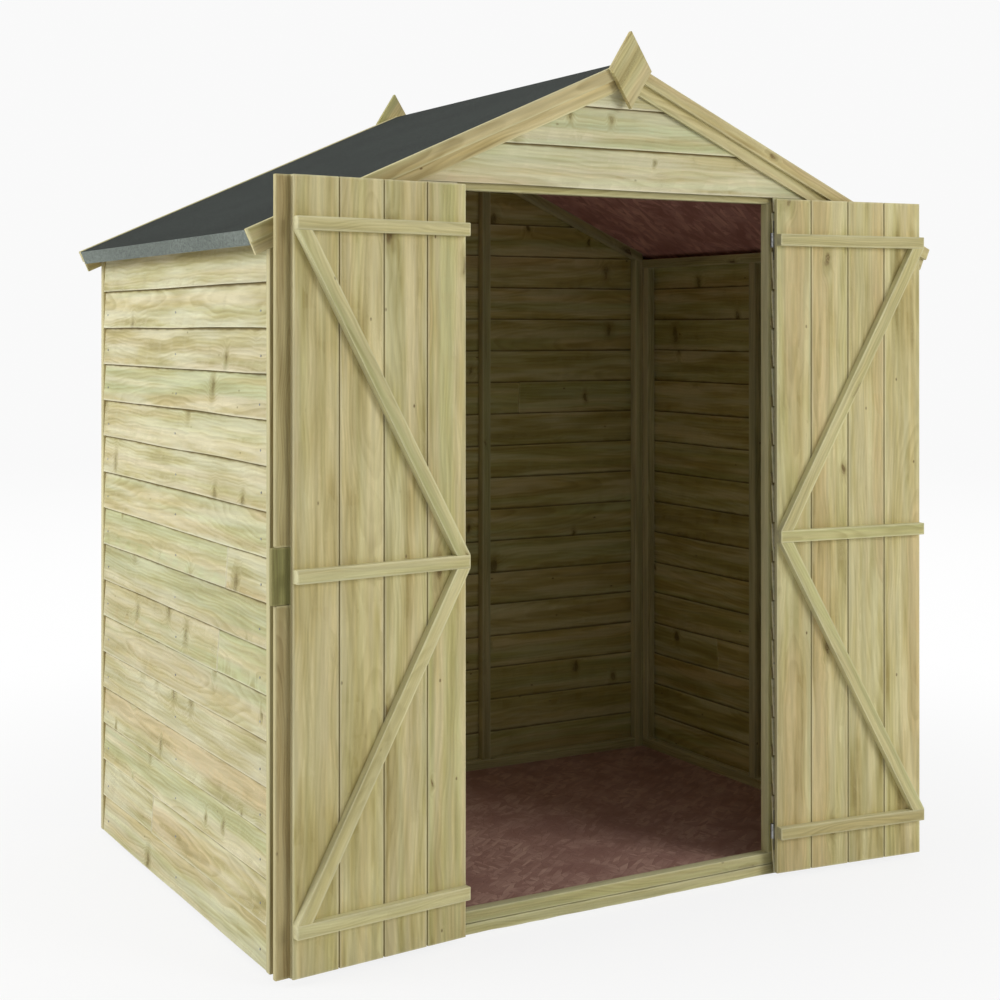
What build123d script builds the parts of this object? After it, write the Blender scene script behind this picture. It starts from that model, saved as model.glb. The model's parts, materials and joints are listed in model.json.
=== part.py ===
from build123d import *
import os
from math import ceil, cos, radians, sin, tan

# Wooden garden shed, 6 ft by 4 ft, with an apex roof and two ledged and braced doors.
# Millimetres, +Z up. The front faces -Y, and the origin is the centre of the base on the ground.
# Both doors are drawn open, as they stand when the shed is aired.

# Overall form
shed_width = 1830.0
shed_depth = 1232.0
ridge_height = 2036.0
roof_pitch = 24.0
eave_overhang = 58.0

# Timber and sheet sizes
frame_size = 28.0
cladding_thickness = 17.0
lap_board_thickness = 8.0
board_exposure = 99.0
corner_strip_width = 20.0
roof_sheet_thickness = 9.0
floor_sheet_thickness = 9.0
felt_thickness = 2.0
eave_batten_size = 24.0

# Floor
bearer_height = 19.0
bearer_width = 36.0
bearer_count = 5
cladding_ground_gap = 9.0
strip_ground_gap = 2.0
doorway_strip_thickness = 12.0

# Doorway and doors
doorway_width = 900.0
gable_over_door = 310.0
header_lap = 15.0
door_clearance = 5.0
door_bottom = 14.0
leaf_thickness = 12.0
leaf_board_width = 113.0
leaf_hinge_board_width = 103.5
groove_depth = 2.5
ledge_height = 30.0
ledge_thickness = 20.0
brace_width = 32.0
ledge_inset = 104.0
left_door_angle = 174.3
right_door_angle = 174.0

# Cover strip and lock block on the left door
cover_strip_thickness = 16.0
cover_strip_lap = 24.0
cover_strip_projection = 33.0
lock_block_height = 122.0
lock_block_gap = 1.0
lock_block_projection = 41.0
lock_block_setback = 3.0
lock_block_thickness = 15.0

# Hinges
hinge_plate_thickness = 2.0
knuckle_radius = 5.0
pin_radius = 2.0
pin_clearance = 0.08
knuckle_end_gap = 0.3
strap_knuckle_length = 14.0
plate_knuckle_length = 11.0
wall_plate_width = 25.0
wall_plate_height = 100.0
strap_length = 245.0
strap_root_width = 34.0
strap_tip_width = 20.0

# Bargeboards and finials
bargeboard_width = 60.0
bargeboard_thickness = 8.0
barge_strip_width = 31.0
barge_strip_thickness = 10.0
barge_rise = 2.0
finial_width = 117.0
finial_height = 186.0
finial_thickness = 12.0
finial_rise = 70.0

# Places worked out from the sizes above
half_width = shed_width / 2
half_depth = shed_depth / 2
frame_x = half_width - cladding_thickness
frame_y = half_depth - cladding_thickness
inner_x = frame_x - frame_size
inner_y = frame_y - frame_size
floor_top = bearer_height + floor_sheet_thickness
rail_top = floor_top + frame_size
doorway_half = doorway_width / 2
gable_cladding_bottom = ridge_height - gable_over_door
doorway_head = gable_cladding_bottom - header_lap
slope_tan = tan(radians(roof_pitch))
slope_cos = cos(radians(roof_pitch))
slope_sin = sin(radians(roof_pitch))
slope_length = (half_width + eave_overhang) / slope_cos
sheet_under = felt_thickness + roof_sheet_thickness
gable_rail_under = sheet_under + frame_size
side_height = ridge_height - half_width * slope_tan - sheet_under / slope_cos
pivot_x = doorway_half - door_clearance / 2
pivot_y = -half_depth - knuckle_radius
leaf_edge = doorway_half - door_clearance
leaf_free_edge = door_clearance / 2
leaf_width = leaf_edge - leaf_free_edge
leaf_back = -half_depth + leaf_thickness
leaf_top = gable_cladding_bottom - door_clearance
top_ledge_centre = leaf_top - ledge_inset
bottom_ledge_centre = door_bottom + ledge_inset
middle_ledge_centre = (top_ledge_centre + bottom_ledge_centre) / 2
lock_block_bottom = middle_ledge_centre - lock_block_height / 2
finial_top = ridge_height + finial_rise
barge_face = half_depth + bargeboard_thickness
strip_face = barge_face + barge_strip_thickness


def bar(x_from, x_to, y_from, y_to, z_from, z_to):
    """A straight piece of timber or sheet between the given limits."""
    size = Box(x_to - x_from, y_to - y_from, z_to - z_from, align=(Align.MIN, Align.MIN, Align.MIN))
    return Pos(x_from, y_from, z_from) * size


def roof_height(x, depth):
    """Height at x of the plane that lies depth below the felt, square to the slope."""
    return ridge_height - abs(x) * slope_tan - depth / slope_cos


def slope_point(along, depth):
    """Section point on the right slope: along from the ridge, depth square to it."""
    return (along * slope_cos - depth * slope_sin, ridge_height - along * slope_sin - depth * slope_cos)


def section_prism(points, y_from, y_to):
    """A shape drawn as (x, z) points and carried from y_from to y_to."""
    face = make_face(Plane.XZ * Polyline(*points, close=True))
    return Pos(0, y_from, 0) * extrude(face, amount=y_to - y_from, dir=(0, 1, 0))


def roof_layer(upper, lower, length, y_from, y_to):
    """A right-hand roof piece between two depths, mitred at the ridge and cut square at the eave."""
    points = [(upper * slope_tan, upper), (length, upper), (length, lower), (lower * slope_tan, lower)]
    return section_prism([slope_point(*point) for point in points], y_from, y_to)


def under_roof(depth, y_from, y_to):
    """Everything of the shed's section that lies below a roof plane."""
    points = [(-half_width, 0), (half_width, 0), (half_width, roof_height(half_width, depth))]
    points += [(0, roof_height(0, depth)), (-half_width, roof_height(half_width, depth))]
    return section_prism(points, y_from, y_to)


def mirrored(shape):
    """The same piece on the shed's left side."""
    return mirror(shape, about=Plane.YZ)


def at_back(shape):
    """The same piece on the shed's back."""
    return mirror(shape, about=Plane.XZ)


def lap_profile(bottom, top):
    """Section of overlapping boards as (out, z): flat at the frame, each board leaning on the one below."""
    courses = ceil((top - bottom) / board_exposure)
    points = [(0, bottom)]
    for course in range(courses):
        lap_bottom = bottom + course * board_exposure
        lap_top = min(lap_bottom + board_exposure, top)
        lean = lap_board_thickness * (lap_top - lap_bottom) / board_exposure
        points += [(cladding_thickness, lap_bottom), (cladding_thickness - lean, lap_top)]
    return points + [(0, top)]


def end_cladding(x_from, x_to, bottom, top):
    """Lapped boards on the front wall, between two heights, cut to the roof slopes."""
    points = [(0, -frame_y - out, z) for out, z in lap_profile(bottom, top)]
    face = make_face(Polyline(*points, close=True))
    boards = Pos(x_from, 0, 0) * extrude(face, amount=x_to - x_from, dir=(1, 0, 0))
    return boards & under_roof(sheet_under, -half_depth, -frame_y)


def side_cladding():
    """Lapped boards on the right wall, up to the underside of the roof."""
    side_length = shed_depth - 2 * corner_strip_width
    profile = lap_profile(cladding_ground_gap, side_height)
    points = [(frame_x + out, 0, z) for out, z in profile]
    face = make_face(Polyline(*points, close=True))
    return Pos(0, -side_length / 2, 0) * extrude(face, amount=side_length, dir=(0, 1, 0))


def floor_pieces():
    """Bearers on the ground, the sheet over them and the strip that closes the doorway's foot."""
    floor_front = -frame_y + doorway_strip_thickness
    sheet = bar(-frame_x, frame_x, floor_front, frame_y, bearer_height, floor_top)
    spacing = (frame_y - bearer_width / 2 - doorway_strip_thickness) * 2 / (bearer_count - 1)
    bearers = []
    for index in range(bearer_count):
        centre = (index - (bearer_count - 1) / 2) * spacing
        y_from = centre - bearer_width / 2
        bearers.append(bar(-frame_x, frame_x, y_from, y_from + bearer_width, 0, bearer_height))
    strip = bar(-frame_x, frame_x, -frame_y, floor_front, strip_ground_gap, floor_top)
    return {"floor_sheet": [sheet], "floor_bearers": bearers, "doorway_strip": [strip]}


def side_frame():
    """Rails and uprights of the right wall."""
    rail_under = side_height - frame_size
    rails = [bar(inner_x, frame_x, -frame_y, frame_y, floor_top, rail_top)]
    rails.append(bar(inner_x, frame_x, -frame_y, frame_y, rail_under, side_height))
    uprights = []
    for centre in (-inner_y + frame_size / 2, 0, inner_y - frame_size / 2):
        low, high = centre - frame_size / 2, centre + frame_size / 2
        uprights.append(bar(inner_x, frame_x, low, high, rail_top, rail_under))
    return rails, uprights


def gable_rails():
    """Sloping rails of the right slope, one behind each gable, cut plumb at the side frame."""
    rail = roof_layer(sheet_under, gable_rail_under, slope_length, -frame_y, -inner_y)
    rail = rail & bar(0, inner_x, -frame_y, -inner_y, 0, ridge_height)
    return [rail, at_back(rail)]


def end_uprights(centres, bottom):
    """Uprights of an end wall behind the front cladding, each cut to the slope of its rail."""
    limit = under_roof(gable_rail_under, -frame_y, -inner_y)
    half = frame_size / 2
    return [bar(c - half, c + half, -frame_y, -inner_y, bottom, ridge_height) & limit for c in centres]


def wall_pieces():
    """Side walls, back wall and front wall with its doorway."""
    rails, uprights = side_frame()
    cladding = side_cladding()
    corner = inner_x - frame_size / 2
    stud = corner / 3
    rail_half = inner_x - frame_size
    front_top = gable_cladding_bottom
    panel = end_cladding(doorway_half, frame_x, cladding_ground_gap, front_top)
    gable = end_cladding(-frame_x, frame_x, front_top, ridge_height)
    back = end_cladding(-frame_x, frame_x, cladding_ground_gap, ridge_height)
    back_uprights = end_uprights((-corner, corner), floor_top) + end_uprights((-stud, stud), rail_top)
    jamb = bar(doorway_half, doorway_half + frame_size, -frame_y, -inner_y, rail_top, doorway_head)
    head = bar(-inner_x, inner_x, -frame_y, -inner_y, doorway_head, doorway_head + frame_size)
    head = head & under_roof(gable_rail_under, -frame_y, -inner_y)
    bottom_rail = bar(-rail_half, rail_half, -frame_y, -inner_y, floor_top, rail_top)
    strip_back = -half_depth + corner_strip_width
    strip = bar(frame_x, half_width, -half_depth, strip_back, cladding_ground_gap, side_height)
    slope_rails = gable_rails()
    return {
        "right_wall_cladding": [cladding],
        "right_wall_rails": rails,
        "right_wall_uprights": uprights,
        "left_wall_cladding": [mirrored(cladding)],
        "left_wall_rails": [mirrored(rail) for rail in rails],
        "left_wall_uprights": [mirrored(upright) for upright in uprights],
        "back_wall_cladding": [at_back(back)],
        "back_wall_uprights": [at_back(upright) for upright in back_uprights],
        "back_bottom_rail": [at_back(bottom_rail)],
        "front_right_cladding": [panel],
        "front_left_cladding": [mirrored(panel)],
        "front_gable_cladding": [gable],
        "front_corner_uprights": end_uprights((-corner, corner), floor_top),
        "door_jambs": [jamb, mirrored(jamb)],
        "door_head_rail": [head],
        "front_bottom_rail": [bottom_rail],
        "corner_strips": [strip, mirrored(strip), at_back(strip), at_back(mirrored(strip))],
        "right_gable_rails": slope_rails,
        "left_gable_rails": [mirrored(rail) for rail in slope_rails],
    }


def roof_pieces():
    """Roof sheets, felt with its turned-down eaves, eave battens, bargeboards and finials."""
    sheet_length = slope_length - felt_thickness
    batten_under = sheet_under + eave_batten_size
    sheet = roof_layer(felt_thickness, sheet_under, sheet_length, -half_depth, half_depth)
    batten_start = sheet_length - eave_batten_size
    batten_points = [(sheet_length, sheet_under), (sheet_length, batten_under)]
    batten_points += [(batten_start, batten_under), (batten_start, sheet_under)]
    batten = section_prism([slope_point(*point) for point in batten_points], -half_depth, half_depth)
    felt_points = [(0, 0), (slope_length, 0), (slope_length, batten_under), (sheet_length, batten_under)]
    felt_points += [(sheet_length, felt_thickness), (felt_thickness * slope_tan, felt_thickness)]
    felt = section_prism([slope_point(*point) for point in felt_points], -half_depth, half_depth)
    board = roof_layer(-barge_rise, bargeboard_width - barge_rise, slope_length, -barge_face, -half_depth)
    strip = roof_layer(-barge_rise, barge_strip_width - barge_rise, slope_length, -strip_face, -barge_face)
    middle = finial_top - finial_height / 2
    corners = [(0, finial_top), (finial_width / 2, middle), (0, finial_top - finial_height)]
    corners.append((-finial_width / 2, middle))
    finial = section_prism(corners, -strip_face - finial_thickness, -strip_face)
    return {
        "right_roof_sheet": [sheet],
        "left_roof_sheet": [mirrored(sheet)],
        "roof_felt": [felt + mirrored(felt)],
        "eave_battens": [batten, mirrored(batten)],
        "right_bargeboards": [board, at_back(board)],
        "left_bargeboards": [mirrored(board), mirrored(at_back(board))],
        "right_barge_strips": [strip, at_back(strip)],
        "left_barge_strips": [mirrored(strip), mirrored(at_back(strip))],
        "finials": [finial, at_back(finial)],
    }


def leaf_body():
    """Right door leaf, closed: upright boards with a V groove at each joint, on both faces."""
    joints = [leaf_edge - leaf_hinge_board_width]
    while joints[-1] - leaf_board_width > leaf_free_edge + leaf_board_width / 2:
        joints.append(joints[-1] - leaf_board_width)
    inside = [(leaf_edge, leaf_back)]
    outside = []
    for joint in joints:
        groove = ((joint + groove_depth, 0), (joint, groove_depth), (joint - groove_depth, 0))
        inside += [(x, leaf_back - depth) for x, depth in groove]
        outside += [(x, -half_depth + depth) for x, depth in groove]
    inside.append((leaf_free_edge, leaf_back))
    outline = inside + [(leaf_free_edge, -half_depth)] + outside[::-1] + [(leaf_edge, -half_depth)]
    face = make_face(Polyline(*outline, close=True))
    return Pos(0, 0, door_bottom) * extrude(face, amount=leaf_top - door_bottom, dir=(0, 0, 1))


def leaf_ledges():
    """The three level ledges across the back of the right leaf."""
    ledges = []
    for centre in (top_ledge_centre, middle_ledge_centre, bottom_ledge_centre):
        low, high = centre - ledge_height / 2, centre + ledge_height / 2
        ledges.append(bar(leaf_free_edge, leaf_edge, leaf_back, leaf_back + ledge_thickness, low, high))
    return ledges


def leaf_brace(z_from, z_to):
    """A brace that rises from the hinge edge's ledge to the free edge's ledge or falls to it."""
    rise = z_to - z_from
    run = leaf_width - brace_width
    across = brace_width * (rise ** 2 + run ** 2) ** 0.5 / abs(rise)
    points = [(leaf_edge, z_from), (leaf_edge - across, z_from), (leaf_free_edge, z_to)]
    points.append((leaf_free_edge + across, z_to))
    return section_prism(points, leaf_back, leaf_back + ledge_thickness)


def leaf_braces():
    """Upper and lower brace, both starting at the middle ledge by the hinge."""
    half = ledge_height / 2
    upper = leaf_brace(middle_ledge_centre + half, top_ledge_centre - half)
    lower = leaf_brace(middle_ledge_centre - half, bottom_ledge_centre + half)
    return [upper, lower]


def knuckle(length, centre, bore):
    """Rolled barrel of a hinge around the pivot, with or without the hole for the pin."""
    barrel = Cylinder(knuckle_radius, length)
    if bore:
        barrel = barrel - Cylinder(pin_radius + pin_clearance, length)
    return Pos(pivot_x, pivot_y, centre) * barrel


def hinge_strap(centre):
    """Tapered strap on the right leaf's outer face, with its single knuckle."""
    root = pivot_x - knuckle_radius - hinge_plate_thickness
    tip = root - strap_length
    outline = [(root, strap_root_width / 2), (tip, strap_tip_width / 2)]
    outline += [(tip, -strap_tip_width / 2), (root, -strap_root_width / 2)]
    front = -half_depth - hinge_plate_thickness
    blade = Pos(0, 0, centre) * section_prism(outline, front, -half_depth)
    blade += Pos(tip, -half_depth, centre) * Rot(90, 0, 0) * Cylinder(
        strap_tip_width / 2, hinge_plate_thickness, align=(Align.CENTER, Align.CENTER, Align.MIN))
    half = strap_knuckle_length / 2
    neck_start = root - hinge_plate_thickness
    neck = bar(neck_start, pivot_x, front, -half_depth, centre - half, centre + half)
    neck -= Pos(pivot_x, pivot_y, centre) * Cylinder(pin_radius + pin_clearance, strap_knuckle_length)
    return blade + neck + knuckle(strap_knuckle_length, centre, True)


def hinge_plate(centre):
    """Cross plate on the right front panel, with the two outer knuckles and the pin."""
    start = pivot_x + knuckle_radius + hinge_plate_thickness
    front = -half_depth - hinge_plate_thickness
    low = centre - wall_plate_height / 2
    plate = bar(start, start + wall_plate_width, front, -half_depth, low, low + wall_plate_height)
    tab_end = start + hinge_plate_thickness
    offset = strap_knuckle_length / 2 + knuckle_end_gap + plate_knuckle_length / 2
    for side in (-1, 1):
        middle = centre + side * offset
        half = plate_knuckle_length / 2
        plate += bar(pivot_x, tab_end, front, -half_depth, middle - half, middle + half)
        plate += knuckle(plate_knuckle_length, middle, False)
    pin = Cylinder(pin_radius, 2 * offset + plate_knuckle_length)
    return plate + Pos(pivot_x, pivot_y, centre) * pin


def cover_piece(z_from, z_to, thickness, projection, setback):
    """A piece on the leaf's outer face that reaches past its free edge, rebated over the other leaf."""
    back = -half_depth - door_clearance - setback
    front = back - thickness + door_clearance
    lap = leaf_free_edge + cover_strip_lap
    points = [(lap, -half_depth), (leaf_free_edge, -half_depth), (leaf_free_edge, back)]
    points += [(leaf_free_edge - projection, back), (leaf_free_edge - projection, front), (lap, front)]
    face = make_face(Polyline(*points, close=True))
    return Pos(0, 0, z_from) * extrude(face, amount=z_to - z_from, dir=(0, 0, 1))


def cover_pieces():
    """The cover strip in two lengths, with the lock block between them."""
    low = lock_block_bottom - lock_block_gap
    high = lock_block_bottom + lock_block_height + lock_block_gap
    strips = []
    for z_from, z_to in ((door_bottom, low), (high, leaf_top)):
        strips.append(cover_piece(z_from, z_to, cover_strip_thickness, cover_strip_projection, 0))
    block = cover_piece(lock_block_bottom, lock_block_bottom + lock_block_height, lock_block_thickness,
                        lock_block_projection, lock_block_setback)
    return strips, block


def opened(shape, angle):
    """A piece of the right door swung open about its hinge pins."""
    return Pos(pivot_x, pivot_y, 0) * Rot(0, 0, angle) * Pos(-pivot_x, -pivot_y, 0) * shape


def door_pieces():
    """Both doors, each drawn closed and then swung open, and the plates they hang on."""
    hinge_centres = (top_ledge_centre, bottom_ledge_centre)
    strips, block = cover_pieces()
    plates = [hinge_plate(centre) for centre in hinge_centres]
    shared = {
        "leaf": [leaf_body()],
        "ledges": leaf_ledges(),
        "braces": leaf_braces(),
        "hinge_straps": [hinge_strap(centre) for centre in hinge_centres],
    }
    pieces = {"right_hinge_plates": plates, "left_hinge_plates": [mirrored(plate) for plate in plates]}
    for name, shapes in shared.items():
        pieces["right_door_" + name] = [opened(shape, right_door_angle) for shape in shapes]
        pieces["left_door_" + name] = [mirrored(opened(shape, left_door_angle)) for shape in shapes]
    pieces["left_door_cover_strip"] = [mirrored(opened(strip, left_door_angle)) for strip in strips]
    pieces["left_door_lock_block"] = [mirrored(opened(block, left_door_angle))]
    return pieces


def write_parts(pieces):
    """One STEP file for each named piece."""
    os.makedirs("parts", exist_ok=True)
    for name, shapes in pieces.items():
        solids = [solid for shape in shapes for solid in shape.solids()]
        shape = solids[0] if len(solids) == 1 else Compound(children=solids)
        shape.label = name
        export_step(shape, "parts/" + name + ".step")


write_parts(floor_pieces() | wall_pieces() | roof_pieces() | door_pieces())
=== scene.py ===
"""Looks of a small wooden garden shed: lapped boards, felted apex roof and two braced doors."""
import json
import logging
import math
import random
from contextlib import contextmanager
from dataclasses import dataclass, field
from enum import Enum
from functools import cache
from typing import Callable, Iterator, Sequence

import bpy
from mathutils import Matrix, Vector


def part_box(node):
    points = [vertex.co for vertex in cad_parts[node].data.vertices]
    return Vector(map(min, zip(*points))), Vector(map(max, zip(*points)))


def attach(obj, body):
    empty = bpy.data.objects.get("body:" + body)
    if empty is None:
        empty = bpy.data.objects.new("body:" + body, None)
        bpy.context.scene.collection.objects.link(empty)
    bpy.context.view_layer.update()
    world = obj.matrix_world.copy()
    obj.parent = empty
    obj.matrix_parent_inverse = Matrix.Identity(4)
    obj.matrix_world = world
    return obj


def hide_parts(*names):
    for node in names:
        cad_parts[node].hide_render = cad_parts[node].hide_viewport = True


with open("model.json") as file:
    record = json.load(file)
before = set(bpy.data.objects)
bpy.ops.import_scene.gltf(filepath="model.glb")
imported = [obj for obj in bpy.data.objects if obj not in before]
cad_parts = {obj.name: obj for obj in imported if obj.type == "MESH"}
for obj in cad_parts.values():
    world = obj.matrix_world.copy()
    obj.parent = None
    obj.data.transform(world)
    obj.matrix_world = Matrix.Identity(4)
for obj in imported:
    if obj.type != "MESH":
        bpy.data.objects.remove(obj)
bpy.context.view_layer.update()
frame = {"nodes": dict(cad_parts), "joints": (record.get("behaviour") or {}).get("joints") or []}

log = logging.getLogger("shed")

Colour = tuple[int, int, int]
Number = "Wire | float"
Piece = bpy.types.Object

MM = 0.001
SEED = 41
UP = Vector((0, 0, 1))
RIGHTWARD = Vector((1, 0, 0))
FORWARD = Vector((0, -1, 0))
ROOF_PITCH = math.radians(24)
BOARD_SHOWN = 99 * MM
BOARD_TUCK = 25 * MM
BOARD_THICKNESS = 7 * MM
LAP_FACE = (BOARD_SHOWN - BOARD_TUCK) / 2
FRAME_SIZE = 28 * MM
UNDER_SHEET = 11 * MM
HINGE_PLATE = 2 * MM
EASE = 1.5 * MM
JUST_OVER = 0.2 * MM  # how far a nail head lies over the face it is driven into
SPARE = 20 * MM  # stock that a saw cut takes away again
DIAMOND_STOCK = 1.3  # side of the square that a diamond is cut from, as a share of its height
FACING = 0.99  # least share of a face's normal along a direction, for it to face that way


class Side(Enum):
    """A side of the shed, seen from the front."""

    LEFT = -1
    RIGHT = 1

    @property
    def word(self) -> str:
        """The side's name as the nodes spell it."""
        return self.name.lower()

    @property
    def out(self) -> Vector:
        """Direction away from the shed's middle on this side."""
        return Vector((self.value, 0, 0))


# Shader graphs


@dataclass(frozen=True)
class Wire:
    """A number, vector or colour on its way through a shader graph; working with it adds nodes."""

    graph: "Graph"
    socket: bpy.types.NodeSocket

    def math(self, operation: str, *others: Number, clamp: bool = False) -> "Wire":
        """Combine this number with others in one Math node.

        Args:
            operation: Name of the operation.
            others: The numbers that follow this one.
            clamp: Whether the result stays between 0 and 1.

        Returns:
            The result.
        """
        inputs = dict(enumerate((self, *others)))
        return self.graph.add("Math", inputs, operation=operation, use_clamp=clamp)[0]

    def __add__(self, other: Number) -> "Wire":
        """Add two numbers."""
        return self.math("ADD", other)

    def __sub__(self, other: Number) -> "Wire":
        """Take one number from another."""
        return self.math("SUBTRACT", other)

    def __mul__(self, other: Number) -> "Wire":
        """Multiply two numbers."""
        return self.math("MULTIPLY", other)

    def rest(self, clamp: bool = False) -> "Wire":
        """What is left of 1 when this number is taken away."""
        return self.graph.add("Math", {0: 1.0, 1: self}, operation="SUBTRACT", use_clamp=clamp)[0]

    def vector(self, operation: str, *others: "Wire | tuple") -> "Wire":
        """Combine this vector with others in one Vector Math node and give the resulting vector."""
        return self.graph.add("VectorMath", dict(enumerate((self, *others))), operation=operation)["Vector"]

    def stretch(self, x: float, y: float, z: float) -> "Wire":
        """Scale this place differently along its three axes."""
        return self.vector("MULTIPLY", (x, y, z))

    def span(self, low: float, high: float, to_low: float = 0.0, to_high: float = 1.0) -> "Wire":
        """Carry this number smoothly from one range to another, held at its ends."""
        inputs = {"Value": self, 1: low, 2: high, 3: to_low, 4: to_high}
        return self.graph.add("MapRange", inputs, interpolation_type="SMOOTHSTEP")["Result"]

    def noise(self, detail: float, rough: float = 0.5, scale: float = 1.0) -> "Wire":
        """Give soft noise between 0 and 1 at this place."""
        inputs = {"Vector": self, "Scale": scale, "Detail": detail, "Roughness": rough}
        return self.graph.add("TexNoise", inputs)[0]

    def cells(self, scale: float = 1.0, **settings) -> "Step":
        """Divide space into cells and give the one at this place."""
        return self.graph.add("TexVoronoi", {"Vector": self, "Scale": scale}, **settings)

    def luck(self) -> "Step":
        """Random numbers that this number picks."""
        return self.graph.add("TexWhiteNoise", {"W": self}, noise_dimensions="1D")

    def split(self, kind: str) -> "Step":
        """Take a vector ("XYZ") or a colour ("Color") apart into its three numbers."""
        return self.graph.add("Separate" + kind, {0: self})


@dataclass(frozen=True)
class Step:
    """A node whose outputs are taken by name or number."""

    graph: "Graph"
    node: bpy.types.Node

    def __getitem__(self, output: str | int) -> Wire:
        """Give one of the node's outputs."""
        return Wire(self.graph, self.node.outputs[output])


@dataclass(frozen=True)
class Graph:
    """A node tree under construction."""

    tree: bpy.types.NodeTree

    def feed(self, node: bpy.types.Node, inputs: dict) -> None:
        """Give a node's inputs, by name or number, their values or wires."""
        for key, value in inputs.items():
            if isinstance(value, Wire):
                self.tree.links.new(value.socket, node.inputs[key])
            else:
                node.inputs[key].default_value = value

    def add(self, kind: str, inputs: dict | None = None, **settings) -> Step:
        """Add one node.

        Args:
            kind: Node type without the leading "ShaderNode".
            inputs: Value or wire for each input, by name or number.
            settings: Properties of the node itself.

        Returns:
            The new node.
        """
        node = self.tree.nodes.new("ShaderNode" + kind)
        for name, value in settings.items():
            setattr(node, name, value)
        self.feed(node, inputs or {})
        return Step(self, node)

    def mix(self, share: Number, first: "Wire | tuple", second: "Wire | tuple", blend: str = "MIX") -> Wire:
        """Blend two colours by a share."""
        return self.add("Mix", {0: share, 6: first, 7: second}, data_type="RGBA", blend_type=blend)[2]

    def choose(self, share: Wire, first: Number, second: Number) -> Wire:
        """Blend two numbers by a share."""
        return self.add("Mix", {0: share, 2: first, 3: second}, data_type="FLOAT")[0]

    def seen(self) -> Wire:
        """Whether a ray comes from the camera, straight or by way of a mirror or a pane."""
        rays = self.add("LightPath")
        bounced = rays["Is Glossy Ray"].math("MAXIMUM", rays["Is Transmission Ray"])
        return rays["Is Camera Ray"].math("MAXIMUM", bounced)


SOCKETS = {float: "NodeSocketFloat", Vector: "NodeSocketVector"}
FLAT = {"voronoi_dimensions": "2D"}


def new_group(name: str, takes: dict[str, type], *gives: str) -> tuple[Graph, Step, Callable[[dict], None]]:
    """Start a node group that works out numbers.

    Args:
        name: Name of the group.
        takes: Kind of each input, by name.
        gives: Names of its outputs.

    Returns:
        The group's graph, its inputs, and a call that feeds its outputs.
    """
    tree = bpy.data.node_groups.new(name, "ShaderNodeTree")
    for title, kind in takes.items():
        tree.interface.new_socket(title, in_out="INPUT", socket_type=SOCKETS[kind])
    for title in gives:
        tree.interface.new_socket(title, in_out="OUTPUT", socket_type=SOCKETS[float])
    graph = Graph(tree)
    start, end = tree.nodes.new("NodeGroupInput"), tree.nodes.new("NodeGroupOutput")
    return graph, Step(graph, start), lambda outputs: graph.feed(end, outputs)


def board_place(given: Step) -> tuple[Wire, Step]:
    """Move a board's grain axes to a patch of noise of its own.

    Args:
        given: The group's inputs, with the grain axes and the board's number.

    Returns:
        The moved place, and the board's three random numbers.
    """
    luck = given["Board"].luck()["Color"]
    return given["Grain"].vector("ADD", luck.stretch(37.0, 23.0, 11.0)), luck.split("Color")


@cache
def knot_pattern() -> bpy.types.NodeTree:
    """Scattered knots of a board: hearts, halos, how far they push the rings, and pin knots."""
    takes = {"Grain": Vector, "Shape": Vector, **dict.fromkeys(("Board", "Chance", "Size", "Pins"), float)}
    graph, given, give = new_group("knots", takes, "Heart", "Halo", "Push", "Pin")
    place = board_place(given)[0]
    wobble = graph.add("TexNoise", {"Vector": place, "Scale": 55.0, "Detail": 0.0})["Color"]
    wobble = wobble.vector("SUBTRACT", (0.5, 0.5, 0.5)).stretch(0.014, 0.014, 0.0)
    cells = place.vector("ADD", wobble).vector("MULTIPLY", given["Shape"]).cells(**FLAT)
    luck = cells["Color"].split("Color")
    real = luck[0].math("GREATER_THAN", given["Chance"])
    reach = (given["Size"] * (luck[1] + 0.4) * real).math("MAXIMUM", 0.0001)
    away = cells["Distance"].math("DIVIDE", reach)
    dots = place.stretch(9.0, 15.0, 0.0).cells(**FLAT)
    shown = dots["Color"].split("Color")[0].math("GREATER_THAN", given["Pins"])
    give({
        "Heart": away.span(1.1, 0.45) * real,
        "Halo": away.span(2.6, 0.7) * real,
        "Push": away.span(3.6, 0.6) * real,
        "Pin": dots["Distance"].span(0.05, 0.02) * shown,
    })
    return graph.tree


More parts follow.
